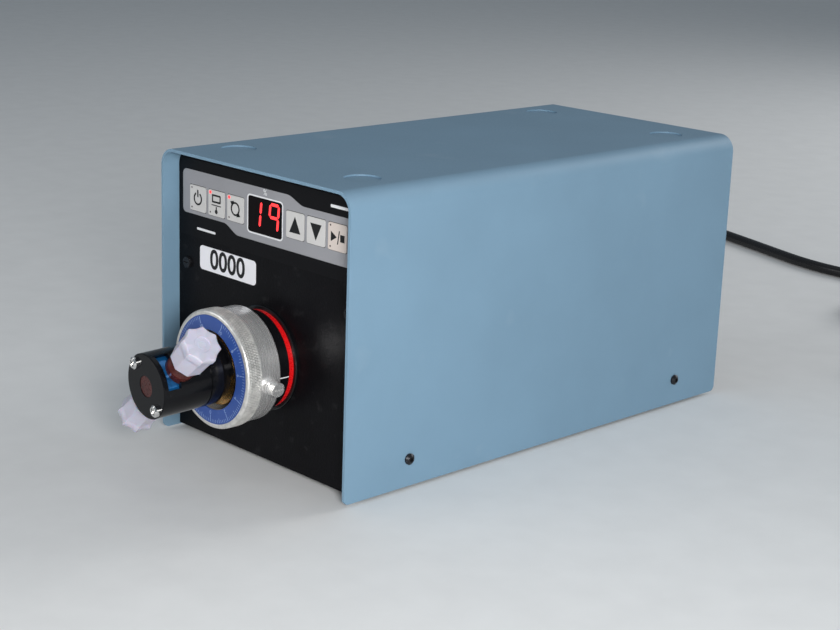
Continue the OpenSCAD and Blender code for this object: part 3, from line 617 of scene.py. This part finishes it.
def segment_outline(ends, half_w, half_h, width, lean):
    """A bar with pointed ends, leaning like the rest of its digit."""
    (x0, z0), (x1, z1) = ends
    x0, x1, z0, z1 = x0 * half_w, x1 * half_w, z0 * half_h, z1 * half_h
    length = math.hypot(x1 - x0, z1 - z0)
    ux, uz = (x1 - x0) / length, (z1 - z0) / length
    gap = 0.25
    x0, z0, x1, z1 = x0 + ux * gap, z0 + uz * gap, x1 - ux * gap, z1 - uz * gap
    nx, nz = -uz * width / 2, ux * width / 2
    tip = width / 2
    ax, az, bx, bz = x0 + ux * tip, z0 + uz * tip, x1 - ux * tip, z1 - uz * tip
    points = [(x0, z0), (ax + nx, az + nz), (bx + nx, bz + nz),
              (x1, z1), (bx - nx, bz - nz), (ax - nx, az - nz)]
    return [(x + z * lean, z) for x, z in points]


def add_display():
    """Two lit digits behind the filter, a little above its middle."""
    low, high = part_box("display_window")
    cz = (low.z + high.z) / 2 / MM + 0.7
    for digit, middle in (("1", -6.6), ("9", 6.6)):
        for s in DIGITS[digit]:
            outline = segment_outline(SEGMENTS[s], 3.2, 3.15, 1.45, 0.1)
            flat_shape(f"digit_{digit}_{s}", [outline], low.y, 0.05, "lit_segment",
                       "housing", (middle, cz))


def add_label_print():
    """A plain number on the label."""
    low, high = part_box("asset_label")
    middle = ((low.x + high.x) / 2 / MM, (low.z + high.z) / 2 / MM)
    numeral("label_number", "0000", 14.0, low.y, "black_print", "housing", middle,
            weight=0.3)


# ---------- pump head ----------

def hub_frame():
    """Millimetres about the drive axis, with Z running forwards from the cover's front edge."""
    return axis_frame((0, FRONT, HUB.z), (0, -1, 0))


def add_adjusting_ring():
    """Ring with a crossed knurl between two plain chamfered bands."""
    teeth = 132
    steps = teeth * 5
    r = 29.0
    knurl_from, knurl_to = 15.3, 21.9

    def cut(radius, z, a):
        if radius < r - 0.05 or not knurl_from <= z <= knurl_to:
            return radius
        lead = (z - knurl_from) / (r * 2 * math.pi / teeth)
        one = abs(math.sin(teeth * a / 2 + math.pi / 2 * lead))
        two = abs(math.sin(teeth * a / 2 - math.pi / 2 * lead))
        return radius - 0.42 * (1 - min(one, two))

    profile = [(23.96, 14.3), (28.3, 14.3), (28.75, 14.6), (28.75, 15.2)]
    rows = 30
    profile += [(r, knurl_from + (knurl_to - knurl_from) * i / rows) for i in range(rows + 1)]
    profile += [(28.7, 22.0), (28.7, 22.4), (28.1, 23.0), (26.6, 23.0), (26.6, 22.4), (19.4, 22.4),
                (19.4, 20.4), (23.96, 20.4), (23.96, 14.3)]
    rings_mesh = turned_mesh("ring_knurled", profile, hub_frame(), steps, cut)
    drop_end_faces(rings_mesh)
    ring = sharpen(link("ring_knurled", rings_mesh, "knurled_aluminium", "ring"), 50)
    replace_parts(ring, "adjusting_ring")


def add_scale():
    """Graduations and numbers from the middle mark outwards, both ways."""
    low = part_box("scale_ring")[0]
    centre = (0, HUB.z / MM)
    number_r = 21.0
    for i in range(-50, 51):
        spin = math.radians(180 + i * 3.2)
        long = i % 10 == 0
        inner = 22.4 if long else (23.6 if i % 5 == 0 else 24.4)
        line = thick_line(0, inner, 0, 25.9, 0.32 if long else 0.2)
        flat_shape(f"scale_mark_{i + 50}", [line], low.y, 0.03, "scale_print", "ring",
                   centre, spin)
        if long:
            place = (number_r * math.sin(spin), centre[1] + number_r * math.cos(spin))
            numeral(f"scale_number_{i + 50}", str(abs(i) // 5), 2.6, low.y, "scale_print", "ring",
                    place, spin)


def add_index_line():
    """White pointer line on the black hub, beside the red ring."""
    points = []
    for ahead in (2.6, -4.7):
        for a in (math.radians(-6.9), math.radians(-5.6)):
            for r in (24.55 * MM, 24.66 * MM):
                points.append((r * math.cos(a), FRONT - ahead * MM, HUB.z + r * math.sin(a)))
    faces = [(0, 1, 3, 2), (4, 6, 7, 5), (0, 4, 5, 1), (2, 3, 7, 6), (1, 5, 7, 3), (0, 2, 6, 4)]
    line_mesh = bpy.data.meshes.new("index_line")
    line_mesh.from_pydata(points, [], faces)
    line = link("index_line", line_mesh, "white_print", "housing", smooth=False)
    sharpen(line, 30)


def add_port_cap(node, joint):
    """Closed cap: eight-sided at its mouth, opening out to eight scalloped lobes."""
    facts = JOINTS[joint]
    start, end = 22.7, 39.9
    mouth_r, skirt_r, grip_r = 6.9, 8.45, 9.4
    dish = end - 0.45
    stations = [(mouth_r, start + 6.2), (mouth_r, start), (skirt_r - 0.4, start)]
    steps = 14
    stations += [(skirt_r + 0.35 * i / steps, start + 0.4 + 11.0 * i / steps)
                 for i in range(steps + 1)]
    stations += [(9.1, start + 12.6), (9.35, start + 13.4), (grip_r, end - 2.6), (grip_r, end - 0.7),
                 (9.2, end - 0.25), (8.8, end), (4.0, end), (3.7, dish), (0.0, dish)]

    def lobe(r, z, a):
        if r < 7.9:
            return r
        grown = min(1.0, max(0.0, (z - start) / (end - start)))
        return r - (0.62 + 0.62 * grown ** 3) * abs(math.cos(4 * a))

    stand = axis_frame(facts["pos_m"], facts["axis"])
    mesh = turned_mesh(node + "_moulded", stations, stand, 160, lobe)
    cap = link(node + "_moulded", mesh, "milky_plastic", facts["child"])
    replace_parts(sharpen(cap, 32), node)
    rim = [(2.2, dish), (2.2, dish + 0.2), (1.7, dish + 0.2), (1.7, dish), (2.2, dish)]
    mark = turned_mesh(node + "_mark", rim, stand, 40)
    drop_end_faces(mark)
    sharpen(link(node + "_mark", mark, "milky_plastic", facts["child"]), 40)


# ---------- build ----------

def finish_cad_nodes():
    """Gives every CAD node that stays in view the finish of its material slot."""
    for row in frame["record"]["subparts"]:
        node = bpy.data.objects[row["node"]]
        node.data.materials.clear()
        node.data.materials.append(MATERIALS[row["material_slot"]])


MATERIALS = make_materials()
add_camera()
add_lead()
add_studio()
finish_cad_nodes()
add_keypad_print()
add_key_prints()
add_display()
add_label_print()
add_adjusting_ring()
add_scale()
add_index_line()
add_port_cap("upper_port_cap", "upper_cap_turn")
add_port_cap("lower_port_cap", "lower_cap_turn")
